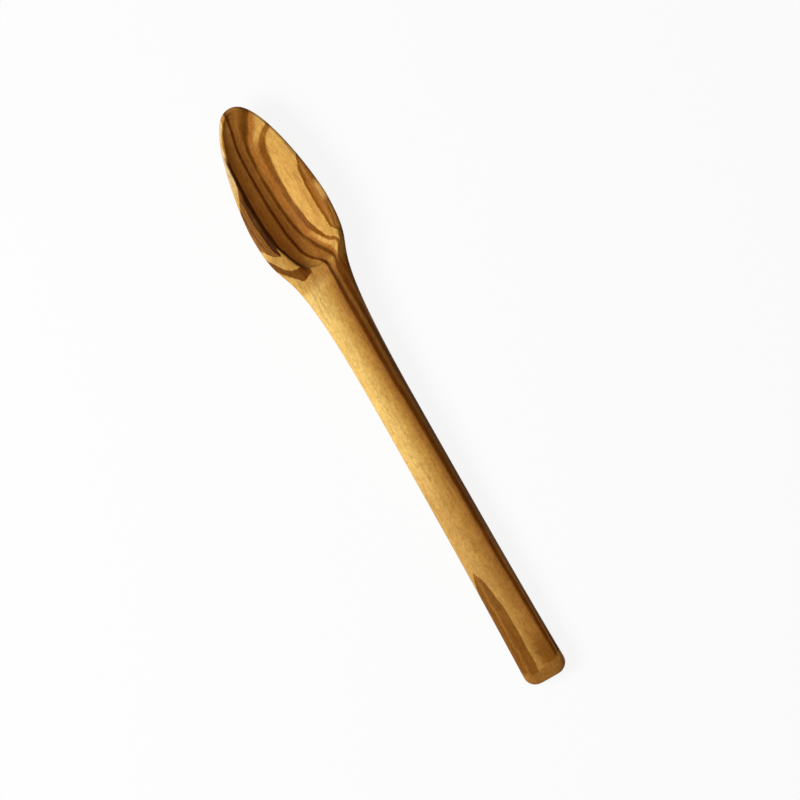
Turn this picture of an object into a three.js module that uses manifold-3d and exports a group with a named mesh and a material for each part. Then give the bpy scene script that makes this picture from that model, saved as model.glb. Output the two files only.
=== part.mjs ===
// Wooden spice spoon, carved whole from one stick of figured wood, as it lies at rest on a table.
// Millimetres, +Z up. +X runs from the butt to the tip, +Y is the left of a cook who holds the handle.
// The origin is on the table, under the middle of the spoon. Stations are distances from the tip.
import * as THREE from 'three';
import { mergeVertices } from 'three/addons/utils/BufferGeometryUtils.js';
import Module from 'manifold-3d';

// Outline seen from above
const LENGTH = 160;
const BOWL_WIDTH = 21.3;
const BOWL_WIDEST_AT = 29.4;
const BOWL_NOSE_BLUNTNESS = 2.28;
const BOWL_SIDE_FULLNESS = 1.35;
const SHOULDER_CARRY = 20.9;
const WAIST_WIDTH = 9.94;
const WAIST_AT = 83;
const WAIST_SWEEP = 51;
const GRIP_WIDTH = 10.4;
const BUTT_WIDTH = 11.16;
const BUTT_FLARE_LENGTH = 16;

// Heights above the table, seen from the side
const TIP_HEIGHT = 12.4;
const BUTT_THICKNESS = 7.4;
const BELLY_AT = 31;
const BELLY_NOSE_BLUNTNESS = 2;
const BELLY_KEEL_FULLNESS = 1.7;
const BELLY_CARRY = 13;
const NECK_AT = 66;
const NECK_LIFT = 3.2;
const NECK_SWEEP = 17;
const REST_LENGTH = 11;
const BACK_SETTLE = 30;

// Wood planed off the round underside, so that the spoon lies still on two small flats
const BELLY_FLAT_CUT = 0.3;
const BUTT_FLAT_CUT = 0.2;

// Section roundness: 2 is an ellipse, larger is squarer
const RIM_EDGE_HEIGHT = 1.4;
const RIM_SQUARENESS = 4.5;
const BELLY_SQUARENESS = 2.1;
const HANDLE_SQUARENESS = 2.5;
const BUTT_SQUARENESS = 4.2;
const GRIP_LENGTH = 45;

// End of the handle: corners rounded as seen from above, with a bevel above and below that starts with them
const BUTT_CORNER_RADIUS = 3.1;
const BUTT_BEVEL_DROP = 2;

// Hollow of the bowl, drifting to the right towards the neck as the gouge ran
const HOLLOW_WIDTH = 15.8;
const HOLLOW_WIDEST_AT = 25.2;
const HOLLOW_END_AT = 44;
const HOLLOW_DEPTH = 7.8;
const HOLLOW_DEEPEST_AT = 31;
const HOLLOW_DRIFT = 1.5;
const HOLLOW_FRONT_ROUNDNESS = 2;
const HOLLOW_BACK_ROUNDNESS = 2.4;
const HOLLOW_WALL_STEEPNESS = 0.8;
const TIP_RIM = 1.1;
const RIM_SOFTENING = 0.6;
const HEEL_SOFTENING = 1.8;
const HEEL_SHARE = 0.7;
const LIP_ANGLE = THREE.MathUtils.degToRad(72);
const GOUGE_CLEARANCE = 1;

// Fineness of the facets, and of the search for a station on a curve
const RING_POINTS = 40;
const NOSE_STEPS = 14;
const STATION_STEP_BOWL = 2;
const STATION_STEP_HANDLE = 5;
const BUTT_STEPS = 6;
const HOLLOW_POINTS = 56;
const HOLLOW_LEVELS = 12;
const LIP_STEPS = 4;
const SEARCH_HALVINGS = 40;

const { lerp, smoothstep } = THREE.MathUtils;

const wasm = await Module();
wasm.setup();

// A soft S from one level station to another, each end leaving level for a given reach
function sweep(from, fromReach, to, toReach) {
  return new THREE.CubicBezierCurve(
    new THREE.Vector2(from.at, from.size),
    new THREE.Vector2(from.at + fromReach, from.size),
    new THREE.Vector2(to.at - toReach, to.size),
    new THREE.Vector2(to.at, to.size),
  );
}

// Value of a curve that runs steadily along the spoon, at one station, found by halving the search
function valueAt(curve, station) {
  let low = 0;
  let high = 1;
  for (let halving = 0; halving < SEARCH_HALVINGS; halving += 1) {
    const middle = (low + high) / 2;
    if (curve.getPoint(middle).x < station) {
      low = middle;
    } else {
      high = middle;
    }
  }
  return curve.getPoint(low).y;
}

// Swell from nothing at the tip to 1 at the given station, blunt at the nose
function noseSwell(station, fullAt, bluntness, fullness) {
  const ahead = (fullAt - station) / fullAt;
  return (1 - ahead ** fullness) ** (1 / bluntness);
}

const buttStart = LENGTH - BUTT_CORNER_RADIUS;
const restStart = LENGTH - REST_LENGTH;

const shoulder = sweep(
  { at: BOWL_WIDEST_AT, size: BOWL_WIDTH / 2 },
  SHOULDER_CARRY,
  { at: WAIST_AT, size: WAIST_WIDTH / 2 },
  WAIST_SWEEP,
);
const grip = new THREE.CubicBezierCurve(
  new THREE.Vector2(WAIST_AT, WAIST_WIDTH / 2),
  new THREE.Vector2(WAIST_AT + (buttStart - WAIST_AT) / 2, WAIST_WIDTH / 2),
  new THREE.Vector2(buttStart - BUTT_FLARE_LENGTH, GRIP_WIDTH / 2),
  new THREE.Vector2(buttStart, BUTT_WIDTH / 2),
);
const bellyRise = sweep(
  { at: BELLY_AT, size: -BELLY_FLAT_CUT },
  BELLY_CARRY,
  { at: NECK_AT, size: NECK_LIFT },
  NECK_SWEEP,
);
const handleBack = sweep(
  { at: NECK_AT, size: NECK_LIFT },
  (restStart - NECK_AT) / 2,
  { at: restStart, size: -BUTT_FLAT_CUT },
  BACK_SETTLE,
);

function halfWidth(station) {
  if (station < BOWL_WIDEST_AT) {
    const swell = noseSwell(station, BOWL_WIDEST_AT, BOWL_NOSE_BLUNTNESS, BOWL_SIDE_FULLNESS);
    return (swell * BOWL_WIDTH) / 2;
  }
  return valueAt(station < WAIST_AT ? shoulder : grip, station);
}

// The top line is straight from the rim at the tip to the end of the handle
function topHeight(station) {
  return lerp(TIP_HEIGHT, BUTT_THICKNESS, station / LENGTH);
}

// The underside before the flats are planed, so it dips below the table where they will be
function backHeight(station) {
  if (station < BELLY_AT) {
    const swell = noseSwell(station, BELLY_AT, BELLY_NOSE_BLUNTNESS, BELLY_KEEL_FULLNESS);
    return lerp(topHeight(station) - RIM_EDGE_HEIGHT, -BELLY_FLAT_CUT, swell);
  }
  if (station < NECK_AT) {
    return valueAt(bellyRise, station);
  }
  return station < restStart ? valueAt(handleBack, station) : -BUTT_FLAT_CUT;
}

// One closed section across the spoon, with a flat facet on top, and planed level with the table underneath
function section(station, inset) {
  const handleShare = smoothstep(station, BOWL_WIDEST_AT + SHOULDER_CARRY / 2, NECK_AT);
  const buttShare = smoothstep(station, restStart - GRIP_LENGTH, restStart);
  const bowlTop = lerp(RIM_SQUARENESS, HANDLE_SQUARENESS, handleShare);
  const bowlBack = lerp(BELLY_SQUARENESS, HANDLE_SQUARENESS, handleShare);
  const topSquareness = lerp(bowlTop, BUTT_SQUARENESS, buttShare);
  const backSquareness = lerp(bowlBack, BUTT_SQUARENESS, buttShare);

  const top = topHeight(station) - inset.edge;
  const back = backHeight(station) + inset.edge;
  const widestHeight = lerp(top - RIM_EDGE_HEIGHT, (top + back) / 2, handleShare);
  const half = halfWidth(station) - inset.corner;

  const ring = [];
  const facetHalfAngle = Math.PI / RING_POINTS;
  for (let point = 0; point < RING_POINTS; point += 1) {
    const angle = (2 * point + 1) * facetHalfAngle;
    const across = Math.cos(angle);
    const up = Math.sin(angle);
    const power = 2 / (up > 0 ? topSquareness : backSquareness);
    const flatReach = Math.cos(facetHalfAngle) ** power;
    const y = (half * Math.sign(across) * Math.abs(across) ** power) / flatReach;
    const rise = Math.abs(up) ** power / flatReach;
    const z = lerp(widestHeight, up > 0 ? top : back, rise);
    ring.push(new THREE.Vector3(LENGTH / 2 - station, y, Math.max(z, 0)));
  }
  return ring;
}

function centreOf(ring) {
  const centre = new THREE.Vector3();
  ring.forEach((point) => centre.add(point));
  return centre.divideScalar(ring.length);
}

// Closed skin over a row of rings with equal numbers of points, drawn to a point at each end
function loft(firstPole, rings, lastPole) {
  const count = rings[0].length;
  const points = [firstPole, ...rings.flat(), lastPole];
  const last = points.length - 1;
  const faces = [];
  for (let point = 0; point < count; point += 1) {
    const next = (point + 1) % count;
    faces.push(0, 1 + point, 1 + next);
    for (let ring = 0; ring < rings.length - 1; ring += 1) {
      const near = 1 + ring * count;
      const far = near + count;
      faces.push(near + point, far + point, far + next);
      faces.push(near + point, far + next, near + next);
    }
    faces.push(last, last - count + next, last - count + point);
  }
  const geometry = new THREE.BufferGeometry().setFromPoints(points);
  geometry.setIndex(faces);
  return geometry;
}

// The outside of the spoon, before the bowl is hollowed
function blank() {
  const whole = { corner: 0, edge: 0 };
  const rings = [];
  for (let step = 1; step < NOSE_STEPS; step += 1) {
    const angle = (step / NOSE_STEPS) * (Math.PI / 2);
    const station = BOWL_WIDEST_AT * (1 - Math.cos(angle) ** (2 / BOWL_SIDE_FULLNESS));
    rings.push(section(station, whole));
  }

  const bowlSteps = Math.ceil((NECK_AT - BOWL_WIDEST_AT) / STATION_STEP_BOWL);
  for (let step = 0; step < bowlSteps; step += 1) {
    rings.push(section(lerp(BOWL_WIDEST_AT, NECK_AT, step / bowlSteps), whole));
  }

  const handleSteps = Math.ceil((restStart - NECK_AT) / STATION_STEP_HANDLE);
  for (let step = 0; step <= handleSteps; step += 1) {
    rings.push(section(lerp(NECK_AT, restStart, step / handleSteps), whole));
  }

  for (let step = 0; step <= BUTT_STEPS; step += 1) {
    const angle = (step / BUTT_STEPS) * (Math.PI / 2);
    const inset = {
      corner: BUTT_CORNER_RADIUS * (1 - Math.cos(angle)),
      edge: BUTT_BEVEL_DROP * Math.sin(angle),
    };
    rings.push(section(buttStart + BUTT_CORNER_RADIUS * Math.sin(angle), inset));
  }

  const nose = new THREE.Vector3(LENGTH / 2, 0, topHeight(0) - RIM_EDGE_HEIGHT);
  return loft(nose, rings, centreOf(rings.at(-1)));
}

// How far the middle of the hollow lies to the right: the drift grows towards the neck
function hollowMiddle(station) {
  return -HOLLOW_DRIFT * (station / HOLLOW_END_AT) ** 2;
}

// Radius of the lip, tight at the tip and the sides and broader at the heel, which runs out on the handle
function lipRadius(along) {
  return lerp(RIM_SOFTENING, HEEL_SOFTENING, smoothstep(-along, 1 - HEEL_SHARE, 1));
}

// One contour of the hollow: share is 0 at its deepest point and 1 at its wall, roll is how far the lip
// has turned over from the wall, and a clear contour runs straight on from there to above the rim
function hollowContour(share, roll, clear) {
  const frontReach = HOLLOW_WIDEST_AT - TIP_RIM;
  const backReach = HOLLOW_END_AT - HOLLOW_WIDEST_AT;
  const ring = [];
  for (let point = 0; point < HOLLOW_POINTS; point += 1) {
    const angle = (point / HOLLOW_POINTS) * 2 * Math.PI;
    const along = Math.cos(angle);
    const across = Math.sin(angle);

    const radius = lipRadius(along);
    const wall = (HOLLOW_DEPTH - radius) * (1 - share ** 2) ** HOLLOW_WALL_STEEPNESS;
    const lip = radius * (1 - Math.sin(roll));
    const climb = clear ? lip + GOUGE_CLEARANCE : 0;
    const spread = radius * (1 - Math.cos(roll)) + climb * Math.tan(roll);

    const power = 2 / (along > 0 ? HOLLOW_FRONT_ROUNDNESS : HOLLOW_BACK_ROUNDNESS);
    const reach = along > 0 ? frontReach : backReach;
    const wallAt = HOLLOW_WIDEST_AT - (reach + spread) * Math.sign(along) * Math.abs(along) ** power;
    const wallY = (HOLLOW_WIDTH / 2 + spread) * Math.sign(across) * Math.abs(across) ** power;
    const station = lerp(HOLLOW_DEEPEST_AT, wallAt, share);
    const y = hollowMiddle(station) + share * wallY;
    ring.push(new THREE.Vector3(LENGTH / 2 - station, y, topHeight(station) - wall - lip + climb));
  }
  return ring;
}

// The wood that the gouge takes out of the bowl, from above the rim down, with a soft lip at the rim
function gouged() {
  const rings = [hollowContour(1, LIP_ANGLE, true)];
  for (let step = LIP_STEPS; step > 0; step -= 1) {
    rings.push(hollowContour(1, (step / LIP_STEPS) * LIP_ANGLE, false));
  }
  for (let level = HOLLOW_LEVELS; level > 0; level -= 1) {
    rings.push(hollowContour(Math.sin((level / HOLLOW_LEVELS) * (Math.PI / 2)), 0, false));
  }

  const bottom = new THREE.Vector3(
    LENGTH / 2 - HOLLOW_DEEPEST_AT,
    hollowMiddle(HOLLOW_DEEPEST_AT),
    topHeight(HOLLOW_DEEPEST_AT) - HOLLOW_DEPTH,
  );
  return loft(centreOf(rings[0]), rings, bottom);
}

function toSolid(geometry) {
  const merged = mergeVertices(geometry);
  const mesh = new wasm.Mesh({
    numProp: 3,
    vertProperties: new Float32Array(merged.attributes.position.array),
    triVerts: new Uint32Array(merged.index.array),
  });
  return new wasm.Manifold(mesh);
}

function toGeometry(solid) {
  const { vertProperties, triVerts } = solid.getMesh();
  const geometry = new THREE.BufferGeometry();
  geometry.setAttribute('position', new THREE.BufferAttribute(vertProperties, 3));
  geometry.setIndex(new THREE.BufferAttribute(triVerts, 1));
  geometry.computeVertexNormals();
  return geometry;
}

const oiledWood = new THREE.MeshStandardMaterial({ color: 0xc08a45, roughness: 0.5, metalness: 0 });
const spoon = new THREE.Mesh(toGeometry(toSolid(blank()).subtract(toSolid(gouged()))), oiledWood);
spoon.name = 'spoon';

const spiceSpoon = new THREE.Group();
spiceSpoon.add(spoon);

export default spiceSpoon;
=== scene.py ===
# %% [markdown]
# # A carved spice spoon, dressed for its picture
# The spoon is one stick of figured wood, carved whole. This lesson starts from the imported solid, carves
# a finer skin of the same shape, grows a solid wood pattern through it, and lights it like a studio
# picture taken from straight above. Lengths are written in millimetres, as a carver would, and are
# turned to metres where a mesh, a lamp or the camera needs them.

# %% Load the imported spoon
import math

import bmesh
import bpy
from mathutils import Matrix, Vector
from mathutils.bvhtree import BVHTree
from mathutils.geometry import interpolate_bezier


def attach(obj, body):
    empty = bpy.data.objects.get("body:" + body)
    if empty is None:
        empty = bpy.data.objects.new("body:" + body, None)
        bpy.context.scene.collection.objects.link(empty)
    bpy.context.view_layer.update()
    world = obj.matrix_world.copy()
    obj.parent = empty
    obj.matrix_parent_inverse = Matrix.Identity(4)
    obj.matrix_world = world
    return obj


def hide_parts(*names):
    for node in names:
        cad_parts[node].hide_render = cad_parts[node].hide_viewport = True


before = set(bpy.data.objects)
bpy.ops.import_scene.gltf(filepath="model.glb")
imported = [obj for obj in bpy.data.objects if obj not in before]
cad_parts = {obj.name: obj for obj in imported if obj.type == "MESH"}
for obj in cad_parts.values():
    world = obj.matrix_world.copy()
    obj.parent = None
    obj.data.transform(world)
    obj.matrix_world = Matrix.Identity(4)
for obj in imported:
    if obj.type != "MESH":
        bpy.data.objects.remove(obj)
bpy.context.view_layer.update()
MM = 0.001


# %% [markdown]
# ## The outline of the spoon
# Seen from above, the spoon is a pointed oval bowl that draws in through soft shoulders to a slim
# handle. A carver would mark three curves on the stick: the nose, the shoulder and the grip. The nose
# is a swell that starts blunt, and the other two are Bezier curves, which Blender works out with
# interpolate_bezier. A station is a distance from the tip, so the same numbers serve every section.

# %% Curves to mark on the stick
CURVE_POINTS = 240


def marked_curve(*points):
    """A curve from the first to the last of four points, drawn towards the two between."""
    return interpolate_bezier(*[Vector(point) for point in points], CURVE_POINTS)


def read_off(curve, station):
    """The size that a marked curve gives at one station."""
    for near, far in zip(curve, curve[1:]):
        if station <= far.x:
            return near.y + (far.y - near.y) * (station - near.x) / (far.x - near.x)
    return curve[-1].y


def nose_swell(station, full_at, bluntness, fullness):
    """0 at the tip and 1 where the swell is full."""
    return (1 - ((full_at - station) / full_at) ** fullness) ** (1 / bluntness)


print("points on a marked curve:", CURVE_POINTS)

# %% Half widths along the spoon
LENGTH = 160
BOWL_WIDTH, BOWL_WIDEST_AT = 21.3, 29.4
BOWL_NOSE_BLUNTNESS, BOWL_SIDE_FULLNESS = 2.28, 1.35
SHOULDER_CARRY = 20.9
WAIST_WIDTH, WAIST_AT, WAIST_SWEEP = 9.94, 83, 51
GRIP_WIDTH, BUTT_WIDTH, BUTT_FLARE_LENGTH = 10.4, 11.16, 16
BUTT_CORNER_RADIUS = 3.1
BUTT_START = LENGTH - BUTT_CORNER_RADIUS

shoulder = marked_curve(
    (BOWL_WIDEST_AT, BOWL_WIDTH / 2), (BOWL_WIDEST_AT + SHOULDER_CARRY, BOWL_WIDTH / 2),
    (WAIST_AT - WAIST_SWEEP, WAIST_WIDTH / 2), (WAIST_AT, WAIST_WIDTH / 2))
grip = marked_curve(
    (WAIST_AT, WAIST_WIDTH / 2), ((WAIST_AT + BUTT_START) / 2, WAIST_WIDTH / 2),
    (BUTT_START - BUTT_FLARE_LENGTH, GRIP_WIDTH / 2), (BUTT_START, BUTT_WIDTH / 2))


def half_width(station):
    if station < BOWL_WIDEST_AT:
        swell = nose_swell(station, BOWL_WIDEST_AT, BOWL_NOSE_BLUNTNESS, BOWL_SIDE_FULLNESS)
        return BOWL_WIDTH / 2 * swell
    return read_off(shoulder if station < WAIST_AT else grip, station)


print("half widths:", [(at, round(half_width(at), 2)) for at in (5, 29, 60, 83, 150)])

# %% [markdown]
# ## The side of the spoon
# From the side, the top is one straight line, because such a spoon is sawn from a flat stick. The back
# swells under the bowl, lifts at the neck and comes down to the table again at the butt. Two small
# flats are planed where it rests, so the curve of the back dips a little below the table there.

# %% Curves of the back
BELLY_AT, BELLY_CARRY, BELLY_FLAT_CUT = 31, 13, 0.3
NECK_AT, NECK_LIFT, NECK_SWEEP = 66, 3.2, 17
REST_LENGTH, BACK_SETTLE, BUTT_FLAT_CUT = 11, 30, 0.2
REST_START = LENGTH - REST_LENGTH

belly_rise = marked_curve(
    (BELLY_AT, -BELLY_FLAT_CUT), (BELLY_AT + BELLY_CARRY, -BELLY_FLAT_CUT),
    (NECK_AT - NECK_SWEEP, NECK_LIFT), (NECK_AT, NECK_LIFT))
handle_back = marked_curve(
    (NECK_AT, NECK_LIFT), ((NECK_AT + REST_START) / 2, NECK_LIFT),
    (REST_START - BACK_SETTLE, -BUTT_FLAT_CUT), (REST_START, -BUTT_FLAT_CUT))
print("the back lifts by", NECK_LIFT, "mm at the neck and rests from station", REST_START)

# %% Heights along the spoon
TIP_HEIGHT, BUTT_THICKNESS, RIM_EDGE_HEIGHT = 12.4, 7.4, 1.4
BELLY_NOSE_BLUNTNESS, BELLY_KEEL_FULLNESS = 2, 1.7


def mix(start, end, share):
    return start + (end - start) * share


def top_height(station):
    return mix(TIP_HEIGHT, BUTT_THICKNESS, station / LENGTH)


def back_height(station):
    if station < BELLY_AT:
        swell = nose_swell(station, BELLY_AT, BELLY_NOSE_BLUNTNESS, BELLY_KEEL_FULLNESS)
        return mix(top_height(station) - RIM_EDGE_HEIGHT, -BELLY_FLAT_CUT, swell)
    return read_off(belly_rise if station < NECK_AT else handle_back, station)


def thickness(station):
    return top_height(station) - max(back_height(station), 0)


print("thickness:", [(at, round(thickness(at), 2)) for at in (5, 31, 66, 120, 150)])

# %% [markdown]
# ## The blank
# Before the bowl is hollowed, the spoon is a blank: flat on top at the bowl, round below, oval along
# the handle and nearly square at the butt. It could be sculpted from a subdivided box, but a row of
# sections keeps every size exact. A plain stick is cut across into rings, and each ring is bent to its
# section, which is a shape between an ellipse and a rectangle.

# %% Stations of the rings
NOSE_RINGS, BODY_RINGS, BUTT_RINGS = 36, 150, 10
FIRST_RING = 0.3
BUTT_BEVEL_DROP = 2


def ring_plan():
    """Station, corner inset and edge inset of each ring, close together at the nose and the butt."""
    plan = []
    for step in range(NOSE_RINGS):
        lean = math.cos((step + FIRST_RING) / NOSE_RINGS * math.pi / 2)
        plan.append((BOWL_WIDEST_AT * (1 - lean ** (2 / BOWL_SIDE_FULLNESS)), 0, 0))
    for step in range(BODY_RINGS):
        plan.append((mix(BOWL_WIDEST_AT, BUTT_START, step / BODY_RINGS), 0, 0))
    for step in range(BUTT_RINGS + 1):
        turn = step / BUTT_RINGS * math.pi / 2
        bevel = math.sin(turn)
        corner = BUTT_CORNER_RADIUS * (1 - math.cos(turn))
        plan.append((BUTT_START + BUTT_CORNER_RADIUS * bevel, corner, BUTT_BEVEL_DROP * bevel))
    return plan


plan = ring_plan()
print("rings in the blank:", len(plan))

# %% One section
RIM_SQUARENESS, BELLY_SQUARENESS, HANDLE_SQUARENESS, BUTT_SQUARENESS = 4.5, 2.1, 2.5, 4.2
GRIP_LENGTH = 45


def ease(value, start, end):
    """0 before start, 1 after end, and a soft S between."""
    share = min(max((value - start) / (end - start), 0), 1)
    return share * share * (3 - 2 * share)


def squared(value, power):
    return math.copysign(abs(value) ** power, value)


def section(station, corner_inset, edge_inset):
    """A function that gives the point of this section at any angle around it, with the flats planed."""
    handle_share = ease(station, BOWL_WIDEST_AT + SHOULDER_CARRY / 2, NECK_AT)
    butt_share = ease(station, REST_START - GRIP_LENGTH, REST_START)
    top = top_height(station) - edge_inset
    back = back_height(station) + edge_inset
    widest = mix(top - RIM_EDGE_HEIGHT, (top + back) / 2, handle_share)
    half = half_width(station) - corner_inset

    def point(turn):
        above = math.sin(turn) > 0
        squareness = mix(RIM_SQUARENESS if above else BELLY_SQUARENESS, HANDLE_SQUARENESS, handle_share)
        power = 2 / mix(squareness, BUTT_SQUARENESS, butt_share)
        z = mix(widest, top if above else back, abs(math.sin(turn)) ** power)
        return Vector((LENGTH / 2 - station, half * squared(math.cos(turn), power), max(z, 0)))

    return point


print("widest point of the belly's section:", section(BELLY_AT, 0, 0)(0))

# %% Cut the stick into rings and bend them
RING_POINTS = 96
STICK_RADIUS, STICK_LENGTH = 1, 2


def new_object(name, bm):
    """An object at the origin that takes over what a bmesh holds."""
    mesh = bpy.data.meshes.new(name)
    bm.to_mesh(mesh)
    bm.free()
    thing = bpy.data.objects.new(name, mesh)
    bpy.context.scene.collection.objects.link(thing)
    return thing


def rise(edge):
    return abs(edge.verts[0].co.z - edge.verts[1].co.z)


bm = bmesh.new()
bmesh.ops.create_cone(bm, cap_ends=True, segments=RING_POINTS, radius1=STICK_RADIUS,
                      radius2=STICK_RADIUS, depth=STICK_LENGTH)
lengthwise = [edge for edge in bm.edges if rise(edge) > STICK_LENGTH / 2]
bmesh.ops.subdivide_edges(bm, edges=lengthwise, cuts=len(plan) - 2)
sections = [section(*ring) for ring in plan]
for vert in bm.verts:
    number = round((STICK_LENGTH / 2 - vert.co.z) / STICK_LENGTH * (len(plan) - 1))
    vert.co = sections[number](math.atan2(vert.co.y, vert.co.x)) * MM
bmesh.ops.recalc_face_normals(bm, faces=bm.faces)
blank = new_object("blank", bm)
print("blank:", len(blank.data.vertices), "vertices")

# %% [markdown]
# ## The hollow
# The hollow is what a bent gouge takes out: steep at the walls, round at the bottom, deepest a little
# behind the middle, and drifting to the right towards the neck. A sphere cut in half would be too even,
# so a line is spun into a round funnel, and the funnel is then stretched to the pointed outline of the
# hollow. On the line, 0 to 1 is the way from the bottom up the wall, 1 to 2 is the lip that rolls over
# from the wall, and 3 is clear above the rim.

# %% Spin a line into a funnel
WALL_STEPS, LIP_STEPS, FUNNEL_POINTS = 28, 8, 144
LIP_END, FUNNEL_TOP = 2, 3
MERGE_DISTANCE = 1e-5

reaches = [math.sin(step / WALL_STEPS * math.pi / 2) for step in range(WALL_STEPS + 1)]
reaches += [1 + step / LIP_STEPS for step in range(1, LIP_STEPS + 1)]
reaches += [FUNNEL_TOP]

bm = bmesh.new()
corners = [bm.verts.new((reach, 0, reach)) for reach in reaches]
edges = [bm.edges.new(pair) for pair in zip(corners, corners[1:])]
bmesh.ops.spin(bm, geom=corners + edges, cent=(0, 0, 0), axis=(0, 0, 1), angle=math.tau,
               steps=FUNNEL_POINTS, use_merge=True)
bmesh.ops.remove_doubles(bm, verts=bm.verts, dist=MERGE_DISTANCE)
bmesh.ops.edgeloop_fill(bm, edges=[edge for edge in bm.edges if edge.is_boundary])
print("funnel:", len(bm.verts), "vertices, before it is stretched")

# %% Where a point of the funnel goes
HOLLOW_DEPTH, HOLLOW_WALL_STEEPNESS = 7.8, 0.8
HOLLOW_WIDTH, HOLLOW_WIDEST_AT, HOLLOW_END_AT, TIP_RIM = 15.8, 25.2, 44, 1.1
HOLLOW_DEEPEST_AT, HOLLOW_DRIFT = 31, 1.5
HOLLOW_FRONT_ROUNDNESS, HOLLOW_BACK_ROUNDNESS = 2, 2.4
RIM_SOFTENING, HEEL_SOFTENING, HEEL_SHARE = 0.6, 1.8, 0.7
LIP_ANGLE, GOUGE_CLEARANCE = math.radians(72), 1


def hollow_point(turn, reach):
    """The place in the hollow of a point that lies this far round the funnel and up its side."""
    along, across = math.cos(turn), math.sin(turn)
    share = min(reach, 1)
    roll = min(max(reach - 1, 0), 1) * LIP_ANGLE
    radius = mix(RIM_SOFTENING, HEEL_SOFTENING, ease(-along, 1 - HEEL_SHARE, 1))
    wall = (HOLLOW_DEPTH - radius) * (1 - share ** 2) ** HOLLOW_WALL_STEEPNESS
    lip = radius * (1 - math.sin(roll))
    climb = lip + GOUGE_CLEARANCE if reach > (LIP_END + FUNNEL_TOP) / 2 else 0
    spread = radius * (1 - math.cos(roll)) + climb * math.tan(roll)

    ahead = along > 0
    power = 2 / (HOLLOW_FRONT_ROUNDNESS if ahead else HOLLOW_BACK_ROUNDNESS)
    length = HOLLOW_WIDEST_AT - TIP_RIM if ahead else HOLLOW_END_AT - HOLLOW_WIDEST_AT
    wall_at = HOLLOW_WIDEST_AT - (length + spread) * squared(along, power)
    station = mix(HOLLOW_DEEPEST_AT, wall_at, share)
    middle = -HOLLOW_DRIFT * (station / HOLLOW_END_AT) ** 2
    y = middle + share * (HOLLOW_WIDTH / 2 + spread) * squared(across, power)
    return Vector((LENGTH / 2 - station, y, top_height(station) - wall - lip + climb))


print("the hollow starts", round(LENGTH / 2 - hollow_point(0, 1).x, 2), "mm from the tip")

# %% Stretch the funnel to the hollow
for vert in bm.verts:
    vert.co = hollow_point(math.atan2(vert.co.y, vert.co.x), vert.co.z) * MM
bmesh.ops.recalc_face_normals(bm, faces=bm.faces)
gouge = new_object("gouge", bm)
bottom = min(vert.co.z for vert in gouge.data.vertices) / MM
print("the hollow's bottom is", round(bottom, 2), "mm above the table")

# %% [markdown]
# ## Carving and sanding
# A Boolean modifier takes the funnel out of the blank and leaves a hard edge all round the rim. On the
# real spoon sandpaper has softened that edge and every other. A Bevel would have to follow an edge of
# very uneven faces, so the carved shape is remeshed into small even squares instead, and a Smooth
# modifier then wears them down as sandpaper does: most where the edge is sharpest.

# %% Carve, remesh and sand
GRAIN_OF_MESH = 0.29
SANDING_FORCE, SANDING_PASSES = 0.5, 6

carving = blank.modifiers.new("carve", "BOOLEAN")
carving.operation = "DIFFERENCE"
carving.solver = "EXACT"
carving.object = gouge
remeshing = blank.modifiers.new("even_squares", "REMESH")
remeshing.mode = "VOXEL"
remeshing.voxel_size = GRAIN_OF_MESH * MM
sanding = blank.modifiers.new("sandpaper", "SMOOTH")
sanding.factor = SANDING_FORCE
sanding.iterations = SANDING_PASSES

finished_blank = blank.evaluated_get(bpy.context.evaluated_depsgraph_get())
carved_mesh = bpy.data.meshes.new_from_object(finished_blank)
carved_mesh.name = "carved_spoon"
carved_mesh.shade_smooth()
spoon = bpy.data.objects.new("carved_spoon", carved_mesh)
bpy.context.scene.collection.objects.link(spoon)
for scrap in (blank, gouge):
    bpy.data.meshes.remove(scrap.data)
triangles = sum(len(face.vertices) - 2 for face in carved_mesh.polygons)
print("carved spoon:", len(carved_mesh.vertices), "vertices, which make", triangles, "triangles")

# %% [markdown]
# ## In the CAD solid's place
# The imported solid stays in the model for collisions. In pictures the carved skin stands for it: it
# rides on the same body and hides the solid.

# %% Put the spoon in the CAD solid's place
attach(spoon, "root")
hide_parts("spoon")
print(spoon.name, "stands for the packed spoon")

# %% [markdown]
# ## The outer wall
# On the outside of a carved bowl the growth layers come out at a slant, so their lines lean back along
# the wall. The shader has to know where that wall is. It could be painted by hand, but the mesh knows
# it already: a normal that points sideways or down is on the outer wall, and one that points up is on
# top or in the hollow. The answer is kept at each point as an attribute, which the material reads.

# %% Mark the outer wall
NORMAL_OF_WALL, NORMAL_OF_TOP = -0.25, 0.15

outer_wall = carved_mesh.attributes.new("outer_wall", "FLOAT", "POINT")
for vert, mark in zip(carved_mesh.vertices, outer_wall.data):
    mark.value = 1 - ease(vert.normal.z, NORMAL_OF_WALL, NORMAL_OF_TOP)
marks = [mark.value for mark in outer_wall.data]
print("share of the points on the outer wall:", round(sum(marks) / len(marks), 2))

# %% [markdown]
# ## Shader sums in Python
# The wood is a long sum over the place of each point, and wiring it by hand would hide what it says.
# This small class wraps a node's output, so that plus, minus, times and divided by each add a Math
# node. Any other node comes from its one method, which sets the node's settings first and then its
# sockets. The last few methods are masks and tints, which the wood uses again and again.

# %% Settings that hold several points
def set_stops(stops, wanted):
    """Gives a colour ramp its stops, each a place from 0 to 1 and a colour."""
    for at, paint in wanted[2:]:
        stops.new(at)
    for stop, (at, paint) in zip(stops, wanted):
        stop.position, stop.color = at, (*paint, 1)


def set_curve(mapping, wanted):
    """Leads a curve through points, whose places and heights run from 0 to 1."""
    curve = mapping.curves[0]
    for point in wanted[1:-1]:
        curve.points.new(*point)
    for knot, point in zip(curve.points, wanted):
        knot.location = point
    mapping.update()


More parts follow.
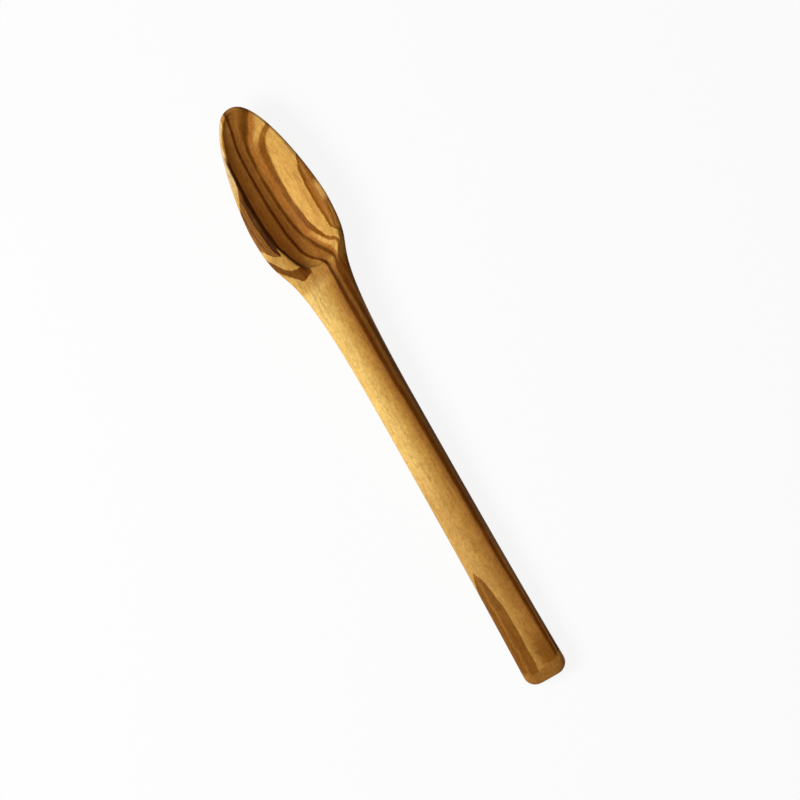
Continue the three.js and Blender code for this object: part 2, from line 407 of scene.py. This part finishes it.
# %% A wire that can be reckoned with
# A Mix node has sockets for each kind of data under the same names, so the colour ones go by number.
MIX_SHARE, MIX_FROM, MIX_TO, MIX_RESULT = 0, 6, 7, 2
GRAIN_WARMTH = (1, 1.25, 1.5)


class Wire:
    """The output of a shader node, which Python's operators can reckon with."""

    def __init__(self, tree, socket=None):
        self.tree, self.socket = tree, socket

    def node(self, kind, settings=None, sockets=None, output=0):
        """Adds a node, sets its settings and then its sockets, and gives one of its outputs."""
        made = self.tree.nodes.new(kind)
        for name, value in (settings or {}).items():
            if name == "stops":
                set_stops(made.color_ramp.elements, value)
            elif name == "curve":
                set_curve(made.mapping, value)
            else:
                setattr(made, name, value)
        for name, value in (sockets or {}).items():
            if isinstance(value, Wire):
                self.tree.links.new(value.socket, made.inputs[name])
            else:
                made.inputs[name].default_value = value
        return Wire(self.tree, made.outputs[output])

    def math(self, operation, *values):
        return self.node("ShaderNodeMath", {"operation": operation}, dict(enumerate(values)))

    def __add__(self, other):
        return self.math("ADD", self, other)

    def __radd__(self, other):
        return self.math("ADD", other, self)

    def __sub__(self, other):
        return self.math("SUBTRACT", self, other)

    def __rsub__(self, other):
        return self.math("SUBTRACT", other, self)

    def __mul__(self, other):
        return self.math("MULTIPLY", self, other)

    def __rmul__(self, other):
        return self.math("MULTIPLY", other, self)

    def __truediv__(self, other):
        return self.math("DIVIDE", self, other)

    def __rtruediv__(self, other):
        return self.math("DIVIDE", other, self)

    def least(self, other):
        return self.math("MINIMUM", self, other)

    def most(self, other):
        return self.math("MAXIMUM", self, other)

    def rises(self, start, end):
        """0 before start, 1 after end, and a soft S between."""
        return self.node("ShaderNodeMapRange", {"interpolation_type": "SMOOTHSTEP"},
                         {"Value": self, "From Min": start, "From Max": end})

    def falls(self, start, end):
        """1 before start, 0 after end."""
        return 1 - self.rises(start, end)

    def within(self, start, full, fading, end):
        """0 before start and after end, 1 from full to fading."""
        return self.rises(start, full) * self.falls(fading, end)

    def near(self, value, full, end):
        """1 up to a distance of full from a value, 0 from a distance of end."""
        return self.math("ABSOLUTE", self - value).falls(full, end)

    def tint(self, share, colour):
        """This colour, taken towards another by a share."""
        paint = colour if isinstance(colour, Wire) else (*colour, 1)
        return self.node("ShaderNodeMix", {"data_type": "RGBA"},
                         {MIX_SHARE: share, MIX_FROM: self, MIX_TO: paint}, MIX_RESULT)

    def grained(self, share):
        """This colour, warmer and darker where a number is below 0, and paler where it is above."""
        factors = self.node("ShaderNodeVectorMath", {"operation": "MULTIPLY_ADD"},
                            {0: share, 1: GRAIN_WARMTH, 2: (1, 1, 1)})
        return self.node("ShaderNodeVectorMath", {"operation": "MULTIPLY"}, {0: self, 1: factors})


# %% [markdown]
# ## Where each point of the wood lies
# The pattern is solid: it depends on where a point is in the stick, not on the surface, so a line
# that crosses the rim goes on down the outside, as in real wood. Object coordinates give that place.
# They are turned into the carver's measures: the station from the tip, how far to the right of a cook
# who holds the handle, and the depth below the straight top. On the outer wall the station leans back
# with the depth, as the layers do.

# %% The carver's measures in the shader
TOP_SLOPE = (TIP_HEIGHT - BUTT_THICKNESS) / LENGTH
LEAN_FROM, LAYER_LEAN = 1, 1.4

wood = bpy.data.materials.new("figured_wood")
wood.use_nodes = True
wood_nodes = wood.node_tree.nodes
start = Wire(wood.node_tree)

place = start.node("ShaderNodeTexCoord", output="Object")
place = place.node("ShaderNodeVectorMath", {"operation": "SCALE"}, {0: place, "Scale": 1 / MM})
x, y, z = [place.node("ShaderNodeSeparateXYZ", None, {0: place}, axis) for axis in "XYZ"]
from_tip = LENGTH / 2 - x
right = 0 - y
depth = TIP_HEIGHT - from_tip * TOP_SLOPE - z
outer = start.node("ShaderNodeAttribute", {"attribute_name": "outer_wall"}, None, "Fac")
station = from_tip - outer * (depth - LEAN_FROM).most(0) * LAYER_LEAN
print("shader nodes for the measures:", len(wood_nodes))

# %% [markdown]
# ## Growth lines
# The dark lines are thin growth layers that run through the whole stick, standing a little aslant in it.
# They could come from a wave texture, but then no line would be where it is on this spoon. So each line
# is pencilled on the top of the carved spoon with a few points, each a station and a distance to the
# right. A ray cast down on the spoon tells how deep each point lies, which gives the layer's number:
# the distance to the right plus a share of the depth. A Float Curve node draws a smooth line through
# them, and counting from line to line gives a ring number, from which the colours follow.

# %% Pencil lines
SLANT = 0.25
bpy.context.view_layer.update()
carved_tree = BVHTree.FromObject(spoon, bpy.context.evaluated_depsgraph_get())


def layer_on_top(at, to_right):
    """The layer number of a point pencilled on the top of the carved spoon."""
    above = Vector((LENGTH / 2 - at, -to_right, 2 * TIP_HEIGHT)) * MM
    hit = carved_tree.ray_cast(above, Vector((0, 0, -1)))[0]
    return to_right + SLANT * (top_height(at) - hit.z / MM if hit else 0)


def pencilled(along, points):
    """The height of a smooth line through points, at each place along it."""
    places, heights = zip(*points)
    reach, low, rise = places[-1] - places[0], min(heights), max(heights) - min(heights)
    curve = [((at - places[0]) / reach, (height - low) / rise) for at, height in points]
    line = along.node("ShaderNodeFloatCurve", {"curve": curve}, {"Value": (along - places[0]) / reach})
    return line * rise + low


print("layer on the floor of the hollow:", round(layer_on_top(HOLLOW_DEEPEST_AT, 0), 2))

# %% The five growth lines
growth_lines = [
    [(0, -2.7), (2, -3.1), (5, -4.85), (9, -6.3), (14.3, -6.95), (20, -7.25), (26.8, -7.3),
     (32.4, -6.8), (35.2, -6.4), (37.1, -5.7), (39.3, -4.9), (41.3, -4.05), (43, -3.1),
     (44.3, -2.6), (46, -2.4), (49, -4.5), (52, -8), (LENGTH, -8)],
    [(0, -1.7), (4, -2.1), (7.5, -2.7), (10, -3.2), (20, -3.35), (30, -3.0), (35, -2.5),
     (38, -1.9), (40, -1.2), (41.3, -0.2), (42.5, 0.85), (43.3, 1.8), (44.3, 2.4), (48, 2.45),
     (64, 2.4), (76, 2.5), (83, 2.9), (105, 3.4), (125, 3.55), (140, 3.95), (150, 4.15),
     (LENGTH, 4.3)],
    [(0, 4.6), (2.2, 3.4), (4, 1.9), (6, 0.7), (7.3, 0.1), (8.5, -0.4), (10, -0.8), (13, -1.2),
     (23.7, -1.2), (30, -0.7), (33, -0.2), (36, 0.75), (38, 1.85), (40, 2.8), (42, 4.1),
     (43.2, 4.9), (44.2, 5.0), (45, 4.85), (46, 4.5), (48, 4.15), (60, 4.4), (90, 4.8),
     (LENGTH, 5.2)],
    [(0, 8), (6.8, 7.6), (8.2, 6.2), (9.2, 4.7), (10.1, 3.6), (11.2, 2.9), (12.7, 2.45),
     (15, 2.15), (22, 1.95), (27, 2.15), (30, 2.4), (33, 2.85), (36, 3.9), (38, 5.0),
     (39.3, 6.0), (40, 7.0), (40.8, 7.7), (42, 7.25), (43, 6.6), (44, 6.0), (45, 5.6),
     (48, 5.5), (60, 5.8), (LENGTH, 6.6)],
    [(0, 12), (14, 11), (17.6, 9.1), (20, 8.3), (23, 7.6), (30, 7.4), (34, 7.6), (37, 7.9),
     (38.5, 8.6), (40, 9.4), (43, 9.0), (48, 8.2), (60, 8), (LENGTH, 9)]]
print("growth lines:", len(growth_lines), "with", sum(len(line) for line in growth_lines), "points")

# %% Ring numbers
SEED_SHIFT = (7.3, 3.1, 5.7)
BROAD_WANDER, FINE_WANDER = 0.12, 0.28


def noise(seed, along, across, detail=2, rough=0.5):
    """Noise from -1 to 1, with so many waves in a millimetre along the wood's fibres and across them."""
    stretched = place.node("ShaderNodeMapping", None, {
        "Vector": place, "Location": [seed * shift for shift in SEED_SHIFT],
        "Scale": (along, across, across)})
    value = place.node("ShaderNodeTexNoise", None, {
        "Vector": stretched, "Scale": 1, "Detail": detail, "Roughness": rough})
    return (value - 0.5) * 2


wander = noise(1, 0.05, 0.2) * BROAD_WANDER + noise(4, 0.3, 1.2, 4, 0.6) * FINE_WANDER
layer = right + SLANT * depth + wander
lines = [pencilled(station, [(at, layer_on_top(at, to_right)) for at, to_right in line])
         for line in growth_lines]
rings = [(layer - near) / (far - near) for near, far in zip(lines, lines[1:])]
ring = (rings[0].least(1) + rings[1].most(0).least(1)
        + rings[2].most(0).least(1) + rings[3].most(0))
print("shader nodes for the ring numbers:", len(wood_nodes))

# %% [markdown]
# ## Colours of the rings
# Oil brings the figure out: the sapwood turns to honey, the heartwood to rust and chestnut, and the thin
# growth lines nearly black. In the bowl the heartwood lies open, and along the handle it stays at the
# right edge, so the same rings take their colours from two ramps, which meet at the heel of the hollow.
# The bowl's ramp is partly painted shade too: the ring on the left wall of the hollow is darker there
# than along the handle, and the last ring darkens the outer right wall, which turns away from the lamp.

# %% Colours of oiled wood
# The palest colour is a painted highlight, not a wood colour: it pales the front of the left rim, where
# the lamp strikes it.
CREAM_HIGHLIGHT = (0.74, 0.54, 0.27)
SAPWOOD = (0.80, 0.52, 0.155)
APRICOT = (0.85, 0.46, 0.12)
PALE_HONEY = (0.74, 0.455, 0.12)
STRAW = (0.66, 0.365, 0.085)
HONEY = (0.60, 0.32, 0.065)
AMBER_AND_PAINTED_SHADE = (0.48, 0.21, 0.036)
TOFFEE = (0.45, 0.20, 0.036)
RUST = (0.37, 0.14, 0.022)
TAN = (0.31, 0.12, 0.02)
COCOA = (0.235, 0.09, 0.014)
CHESTNUT = (0.20, 0.065, 0.003)
BROWN = (0.125, 0.04, 0.002)
UMBER = (0.122, 0.029, 0.001)
SOOT = (0.075, 0.02, 0.003)
BLACKENED = (0.048, 0.012, 0.001)
print("colours of the wood run from", CREAM_HIGHLIGHT, "to", BLACKENED)

# %% Colours from the ring number
RING_FROM, RING_TO = -1, 5
HEEL_START, HEEL_END = 44, 50


def along_rings(number):
    return (number - RING_FROM) / (RING_TO - RING_FROM)


def ring_colours(stops):
    return ring.node("ShaderNodeValToRGB", {"stops": [(along_rings(at), paint) for at, paint in stops]},
                     {"Fac": along_rings(ring)})


# The amber on the left wall of the hollow, and the tan at the ramp's end on the outer right wall, are
# darker partly as painted shade.
in_bowl = ring_colours([
    (-1, PALE_HONEY), (-0.3, HONEY), (-0.04, HONEY), (0.06, AMBER_AND_PAINTED_SHADE), (0.84, AMBER_AND_PAINTED_SHADE), (0.94, UMBER),
    (1.06, UMBER), (1.17, TAN), (1.78, TAN), (1.91, BROWN), (2.08, BROWN), (2.22, RUST), (2.7, RUST),
    (2.84, CHESTNUT), (3.08, CHESTNUT), (3.16, STRAW), (3.93, STRAW), (3.97, CHESTNUT),
    (4.01, CHESTNUT), (4.08, RUST), (4.31, RUST), (4.36, CHESTNUT), (4.41, CHESTNUT), (4.47, TOFFEE),
    (4.7, TAN)])
# Across the handle the colours run from pale at the left edge to darker towards the first dark line:
# partly the wood's own change, partly painted light and shade across the rounded handle.
along_handle = ring_colours([
    (-1, HONEY), (0, PALE_HONEY), (0.25, SAPWOOD), (0.54, PALE_HONEY), (0.71, HONEY), (0.84, TOFFEE),
    (0.945, TAN), (0.975, UMBER), (1.22, UMBER), (1.45, COCOA), (1.7, COCOA), (1.9, UMBER),
    (2.4, BROWN), (2.8, TAN), (3.2, TOFFEE), (3.4, BROWN), (3.7, TAN), (4.2, HONEY), (5, TOFFEE)])
colour = in_bowl.tint(station.rises(HEEL_START, HEEL_END), along_handle)
print("shader nodes with the colours:", len(wood_nodes))

# %% [markdown]
# ## Glazes
# No ring keeps one colour along its length. It pales where the gouge cut it flat, darkens where it
# runs out at the tip or the shoulder, and turns warmer towards the butt. A painter would glaze such
# places one over the other, and so does the shader: each mask says at which rings and stations a
# glaze shows, and the colour is tinted by a share of it. Later glazes lie on top, so the order counts.

# %% Glazes in the bowl
pale_middle = ring.within(2.3, 2.6, 2.76, 2.86)
pale_ends = station.falls(7, 13) + station.within(35, 38.5, 42.5, 44.5)
colour = colour.tint(pale_middle * pale_ends, STRAW)

dark_tip = ring.within(1.5, 1.8, 2.1, 2.25) * station.falls(6, 10)
colour = colour.tint(dark_tip * 0.8, BROWN)

shoulder_edge = 2.85 + (41.5 - station).most(0) * 0.3
dark_shoulder = (ring - shoulder_edge).rises(0, 0.3) * station.within(37.5, 39, 48, 60)
colour = colour.tint(dark_shoulder * 0.92, BROWN)

heel = station.within(42.5, 44.5, 44.5, 54) * right.rises(-5.5, -2.5) * ring.falls(0.8, 0.95)
colour = colour.tint(heel * 0.55, RUST)

broad_line = ring.near(3.1, 0.05, 0.12) * station.within(27, 32, 37, 38.5)
colour = colour.tint(broad_line, CHESTNUT)

right_patch = ring.rises(4.1, 4.2) * station.falls(31, 34)
right_spot = ring.rises(4.2, 4.32) * station.near(28, 1.2, 3.4)
colour = colour.tint(right_patch * 0.85, RUST).tint(right_spot * 0.9, APRICOT)
print("shader nodes with the glazes of the bowl:", len(wood_nodes))

# %% Glazes along the neck and the handle
dark_neck = ring.rises(1.9, 2.1) * station.within(44, 46, 50, 60)
colour = colour.tint(dark_neck * 0.75, UMBER)

warm_handle = station.rises(92, 114) * ring.falls(0.85, 0.95)
brown_side = station.rises(106, 136) * ring.falls(0.9, 0.97) * right.rises(-1.5, 3)
right_edge = station.rises(110, 130) * ring.within(1.3, 1.45, 1.85, 2)
colour = colour.tint(warm_handle * 0.6, TOFFEE).tint(brown_side * 0.75, TAN)
colour = colour.tint(right_edge * 0.55, RUST)

neck_line = layer.near(lines[1], 0.1, 0.4) * station.within(40, 43, 48, 60)
left_shoulder = ring.falls(-0.4, -0.1) * station.within(40, 44, 46, 54)
colour = colour.tint(neck_line * 0.7, BLACKENED).tint(left_shoulder * 0.3, TOFFEE)
print("shader nodes with the glazes of the handle:", len(wood_nodes))

# %% Faint streaks and painted light at the heel
soft_streak = ring.near(3.8, 0.05, 0.15) * station.within(18, 22, 33, 37)
faded_ends = station.falls(9.5, 12) + station.within(38, 39.2, 40.2, 40.9)
faded_line = ring.near(2.95, 0.12, 0.22) * faded_ends
colour = colour.tint(soft_streak * 0.35, TOFFEE).tint(faded_line * 0.35, TOFFEE)

# Painted light: the heel wall of the hollow and the lip above it are lightened, so that their shade fades
# softly into the handle.
painted_light_on_heel_wall = ring.within(0.05, 0.25, 0.84, 0.94) * station.within(41.5, 43.3, 44.5, 47)
pale_strip = ring.within(1.2, 1.3, 1.7, 1.8) * station.within(43, 44.5, 46, 49)
colour = colour.tint(painted_light_on_heel_wall * 0.45, HONEY).tint(pale_strip * 0.5, TOFFEE)

rings_under_heel_light = ring.within(0, 0.15, 0.86, 0.94) + ring.within(1.15, 1.25, 1.7, 1.8)
painted_light_on_heel_lip = depth.within(-0.1, 0.2, 1, 3) * station.within(41.8, 43.2, 44, 45) * rings_under_heel_light
colour = colour.tint(painted_light_on_heel_lip * 0.55, STRAW)
print("shader nodes with all the glazes:", len(wood_nodes))

# %% [markdown]
# ## Heartwood patches
# Where a dark layer lies almost level with a carved surface, it shows as a broad patch with a ragged
# edge: a streaked one on the left rim, a knuckle at the left shoulder and a long one on the left of the
# butt. Each is pencilled by its edges too. Those at the bowl only reach a few millimetres down, so they
# end on the side of the spoon as a thin layer would. Between them, a painted highlight pales the front
# of the left rim, and a painted shade darkens the left edge of the hollow.

# %% The painted highlight on the front rim
RAGGEDNESS = 0.25

ragged = noise(5, 0.3, 1.1, 3, 0.6) * RAGGEDNESS
skin = depth.falls(1.5, 3.5)
outside = lines[0] - layer
# Painted highlight: the front of the left rim, which faces the lamp, is paled to cream.
painted_highlight_on_front_rim = outside.rises(0, 0.15) * station.falls(10, 24) * skin
colour = colour.tint(painted_highlight_on_front_rim, CREAM_HIGHLIGHT)
print("shader nodes with the front rim:", len(wood_nodes))

# %% The streaked left rim
STREAKS_WIDTH = 3.5

streak_edge = pencilled(station, [
    (9, -6.1), (11, -6.6), (13, -7), (15, -7.3), (17, -7.6), (19, -8.1), (20.5, -8.7), (21.5, -9.2),
    (23, -9.8), (27, -11.5), (33, -11), (35, -9.8), (36, -9.1), (37, -8.2), (37.6, -7), (38.2, -5)])
streaked = (right - streak_edge + ragged).rises(-0.1, 0.15) * station.within(9, 11, 37.6, 38.1)
streaked = streaked * (outside - (station - 35).most(0) * 0.4).rises(-0.1, 0.2) * skin
# The black at the inner side of the streaks, beside the hollow's edge, is partly a grain line and partly
# painted shade of the steep wall below it.
streaks = outside.node("ShaderNodeValToRGB", {"stops": [
    (0, BLACKENED), (0.1, BLACKENED), (0.2, SOOT), (0.32, BLACKENED), (0.4, BLACKENED),
    (0.45, CHESTNUT), (0.54, TAN), (0.60, BROWN), (0.64, TAN), (0.72, COCOA), (0.78, BROWN),
    (0.9, TAN)]}, {"Fac": (outside + ragged * 0.5) / STREAKS_WIDTH})
colour = colour.tint(streaked, streaks.tint(station.falls(18.5, 22.5), CHESTNUT))

yellow_wedge = outside.rises(0.2, 0.6) * station.within(36, 37.5, 42, 44) * (1 - streaked)
colour = colour.tint(yellow_wedge * (0.45 + ragged * 2), TOFFEE)
print("shader nodes with the left rim:", len(wood_nodes))

# %% The knuckle at the left shoulder
knuckle_top = pencilled(right, [
    (-12, 34), (-9.4, 38), (-8.6, 39.2), (-7.4, 40.9), (-6, 41.9), (-4.8, 42.2), (-4, 42.2), (-2, 43.2)])
knuckle_foot = pencilled(right, [
    (-12, 37), (-9.3, 40.8), (-8.2, 42.2), (-7, 43.4), (-5.6, 44.9), (-4.7, 45.8), (-3.2, 45.3),
    (-1.6, 44.7)])
below_top = (station + ragged - knuckle_top).rises(-0.1, 0.3)
above_foot = (knuckle_foot - station + ragged).rises(-0.1, 0.3)
knuckle = below_top * above_foot * right.falls(-2.1, -1.6) * skin
knuckle_end = knuckle * outside.falls(1, 2.2)
colour = colour.tint(knuckle, CHESTNUT).tint(knuckle * (0.4 + ragged * 2), BROWN)
colour = colour.tint(knuckle_end * 0.8, UMBER)
print("shader nodes with the knuckle:", len(wood_nodes))

# %% Painted shade along the edge of the hollow
SET_IN_AT_TIP, FURTHER_AT_SIDE = 0.05, 0.35

# Painted shade: a dark line just inside the left edge of the hollow, where the steep wall turns away from
# the lamp.
further = station.rises(14, 24) * (1 - station.rises(34, 38) * 0.5) * FURTHER_AT_SIDE
set_in = SET_IN_AT_TIP + further
painted_shade_at_hollow_edge = (outside + set_in).near(0, 0.35, 0.8) * station.within(9, 12, 43, 44.4)
painted_shade_at_hollow_edge = painted_shade_at_hollow_edge * (1 - station.rises(36, 40) * 0.08) * skin
colour = colour.tint(painted_shade_at_hollow_edge, BLACKENED)
print("shader nodes with the edge of the hollow:", len(wood_nodes))

# %% The butt
patch_edge = pencilled(station, [
    (127, -4.4), (128.2, -3.7), (130, -3.0), (132, -2.4), (135, -1.9), (139, -1.4), (142, -1.2),
    (150, -1.2), (LENGTH, -1.5)])
patch_side = pencilled(station, [
    (127, -3.4), (128.2, -3.9), (130, -4.5), (133, -5.2), (140, -6.5), (LENGTH, -7)])
butt_patch = (patch_edge - right + ragged).rises(-0.1, 0.25) * (right - patch_side).rises(-0.1, 0.25)
butt_patch = butt_patch * station.rises(127.6, 128.6)
patch_streak = butt_patch * (right + ragged * 3).near(-3.8, 0.1, 0.5)

warm_end = station.rises(130, 148) * ring.falls(0.9, 0.95)
brown_end = station.rises(147, 153) * right.within(-2, 2, 3.4, 4)
colour = colour.tint(warm_end * 0.25, TOFFEE).tint(brown_end * 0.85, CHESTNUT)
colour = colour.tint(butt_patch * 0.97, CHESTNUT).tint(patch_streak * 0.3, TOFFEE)
print("shader nodes with the butt:", len(wood_nodes))

# %% [markdown]
# ## End grain
# On the bevelled end the saw has cut across the fibres. End grain drinks more oil and shows darker and
# redder than the sides, and along the edge where the bevel starts a pale line is a painted highlight. The
# bevel's edge is pencilled, because it was cut by eye and isn't straight.

# %% End grain on the bevel
bevel_edge = pencilled(right, [
    (-5.5, 155.9), (-4.4, 156.6), (-3.2, 157.4), (-2, 157.3), (-1, 156.7), (0.5, 156.4), (2.5, 156.6),
    (3.8, 156.3), (4.6, 155.6), (5.5, 155.2)])
end_grain = (from_tip + ragged - bevel_edge).rises(0.1, 0.5)
# Painted highlight: a pale line along the crease where the bevel starts.
painted_highlight_on_bevel_edge = (from_tip + ragged * 1.5).near(bevel_edge, 0.1, 0.5)
colour = colour.tint(end_grain * 0.9, RUST).tint(end_grain * 0.4, TOFFEE)
colour = colour.tint(painted_highlight_on_bevel_edge * 0.25, HONEY)
print("shader nodes with the end grain:", len(wood_nodes))

# %% [markdown]
# ## Fibres, mottling and pores
# Close up, the wood is never even. Fibres run along the stick as fine streaks, light breaks on curly
# grain as soft mottling, and open pores show as tiny dark dashes. Noise that is drawn out along the
# fibres gives the first two, and stretched Voronoi cells, of which only the hearts count, the pores.

# %% Fibres and mottling
WARMTH = 0.5
FIBRES, MOTTLING, SPECKLES, CURLS = 0.30, 0.27, 0.36, 0.10

fibre = noise(2, 0.12, 1.8, 4, 0.65)
mottle = noise(3, 0.5, 1.0, 3, 0.65)
speckle = noise(7, 1.2, 2.8, 2, 0.6)
curl = noise(6, 0.35, 0.12)
warmth = noise(8, 0.06, 0.3, 3, 0.6).most(0)
colour = colour.tint(warmth * WARMTH, TOFFEE)
colour = colour.grained(fibre * FIBRES + mottle * MOTTLING + speckle * SPECKLES + curl * CURLS)
print("shader nodes with the fibres:", len(wood_nodes))

# %% Pores
PORE_CELLS = (0.28, 1.1, 1.1)
PORE_HEART, PORE_RIM, PORE_DARKNESS = 0.05, 0.11, 0.4

pore_place = place.node("ShaderNodeMapping", None, {"Vector": place, "Scale": PORE_CELLS})
pore = place.node("ShaderNodeTexVoronoi", None, {"Vector": pore_place, "Scale": 1}, "Distance")
pores = pore.falls(PORE_HEART, PORE_RIM)
colour = colour.grained(pores * -PORE_DARKNESS)
print("shader nodes with the pores:", len(wood_nodes))

# %% [markdown]
# ## Satin finish
# Oil soaks in and leaves no film, so the surface is satin: a broad, weak sheen that the fibres break
# up. A coat of varnish would be wrong. Roughness varies a little with the fibres and the pores, and a
# fine Bump lets the pores sink in. The sheen's strength is the same all over, so it is set on the
# shader's own socket.

# %% Satin, oiled surface
SATIN, FIBRE_ROUGHNESS, PORE_ROUGHNESS = 0.52, 0.10, 0.2
FIBRE_RELIEF, MOTTLE_RELIEF = 0.6, 0.4
BUMP_STRENGTH, BUMP_HEIGHT = 0.25, 0.05
SHEEN_LEVEL = 0.06

roughness = SATIN + fibre * FIBRE_ROUGHNESS + pores * PORE_ROUGHNESS
relief = fibre * FIBRE_RELIEF + mottle * MOTTLE_RELIEF - pores
bump = relief.node("ShaderNodeBump", None, {
    "Strength": BUMP_STRENGTH, "Distance": BUMP_HEIGHT * MM, "Height": relief})

shader = wood_nodes["Principled BSDF"]
for name, wire in (("Base Color", colour), ("Roughness", roughness), ("Normal", bump)):
    wood.node_tree.links.new(wire.socket, shader.inputs[name])
shader.inputs["Specular IOR Level"].default_value = SHEEN_LEVEL
carved_mesh.materials.clear()
carved_mesh.materials.append(wood)
print("shader nodes in the wood:", len(wood_nodes))

# %% [markdown]
# ## Floor
# The picture has a plain white ground. A brighter lamp would whiten the floor, but it would bleach the
# spoon too. So the floor shows the camera mostly a white of its own, and a share of lit white keeps the
# faint shadow of the spoon. For light that bounces, it is plain white paint. It lies a hair below the
# spoon's flats, because two faces in one place would flicker.

# %% The floor
FLOOR_SIZE = 1.5
FLOOR_DROP = 0.05

bm = bmesh.new()
bmesh.ops.create_grid(bm, x_segments=1, y_segments=1, size=FLOOR_SIZE)
floor = new_object("floor", bm)
floor.location.z = -FLOOR_DROP * MM
print("floor:", 2 * FLOOR_SIZE, "m wide")

# %% White paper
FLOOR_GLOW = 0.9
WHITE, PAPER_WHITE = (1, 1, 1, 1), (0.8, 0.8, 0.8, 1)


def seen_directly(start):
    """1 for what the camera, a mirror or glass sees, and 0 for the light that bounces."""
    rays = [start.node("ShaderNodeLightPath", output=ray)
            for ray in ("Is Camera Ray", "Is Glossy Ray", "Is Transmission Ray")]
    return rays[0].most(rays[1]).most(rays[2])


paper = bpy.data.materials.new("white_paper")
paper.use_nodes = True
paper.node_tree.nodes.clear()
start = Wire(paper.node_tree)
glow = start.node("ShaderNodeEmission", None, {"Color": WHITE, "Strength": 1})
paint = start.node("ShaderNodeBsdfDiffuse", None, {"Color": PAPER_WHITE})
both = start.node("ShaderNodeMixShader", None, {0: seen_directly(start) * FLOOR_GLOW, 1: paint, 2: glow})
output = paper.node_tree.nodes.new("ShaderNodeOutputMaterial")
paper.node_tree.links.new(both.socket, output.inputs["Surface"])
floor.data.materials.append(paper)
print("shader nodes in the paper:", len(paper.node_tree.nodes))

# %% [markdown]
# ## Room
# Past the floor's edge the camera has to see the same white. A white room as bright as that would
# fill every shadow on the spoon, so the world is white only where it is seen, and otherwise gives a
# weak fill light.

# %% The world
FILL_LIGHT = 0.12

world = bpy.data.worlds.new("white_room")
bpy.context.scene.world = world
world.use_nodes = True
background = world.node_tree.nodes["Background"]
background.inputs["Color"].default_value = WHITE
strength = FILL_LIGHT + seen_directly(Wire(world.node_tree)) * (1 - FILL_LIGHT)
world.node_tree.links.new(strength.socket, background.inputs["Strength"])
print("fill light:", FILL_LIGHT, "of the white that is seen")

# %% [markdown]
# ## Lamp
# In the picture the left side of the handle and the right wall of the hollow are bright, and the left
# wall is in its own shade. A ring of lamps would even that out, so there is one broad lamp, above and
# to the left. Its place, size and aim are in metres, as Blender's lamps are.

# %% The key lamp
KEY_WATTS, KEY_SIZE = 4.5, 0.3
KEY_PLACE, KEY_AIM = Vector((0.1, 0.37, 0.53)), Vector((0, 0, 0.01))

light = bpy.data.lights.new("key", "AREA")
light.energy, light.size = KEY_WATTS, KEY_SIZE
lamp = bpy.data.objects.new("key", light)
lamp.location = KEY_PLACE
lamp.rotation_euler = (KEY_AIM - KEY_PLACE).to_track_quat("-Z", "Y").to_euler()
lamp.visible_camera = False
bpy.context.scene.collection.objects.link(lamp)
print("key lamp:", KEY_WATTS, "W at", round((KEY_AIM - KEY_PLACE).length, 2), "m")

# %% [markdown]
# ## Camera
# The picture was taken from straight above, far enough away that the spoon shows no perspective. A
# long lens keeps that look. The camera is turned so that the spoon lies aslant in the frame, and its
# distance follows from the width that the picture takes in at the level of the rim.

# %% The camera
PICTURE_WIDTH, RIM_LEVEL = 195.6, 10
SENSOR, LENS = 36, 400
PICTURE_MIDDLE, PICTURE_TURN = (-2.54, -1.47), -119.447
height = RIM_LEVEL + PICTURE_WIDTH * LENS / SENSOR

camera_data = bpy.data.cameras.new("overhead")
camera_data.sensor_width, camera_data.lens = SENSOR, LENS
camera = bpy.data.objects.new("overhead", camera_data)
camera.location = Vector((*PICTURE_MIDDLE, height)) * MM
camera.rotation_euler = (0, 0, math.radians(PICTURE_TURN))
bpy.context.scene.collection.objects.link(camera)
bpy.context.scene.camera = camera
bpy.context.scene.view_settings.view_transform = "Standard"
print("camera height in mm:", round(height, 1))
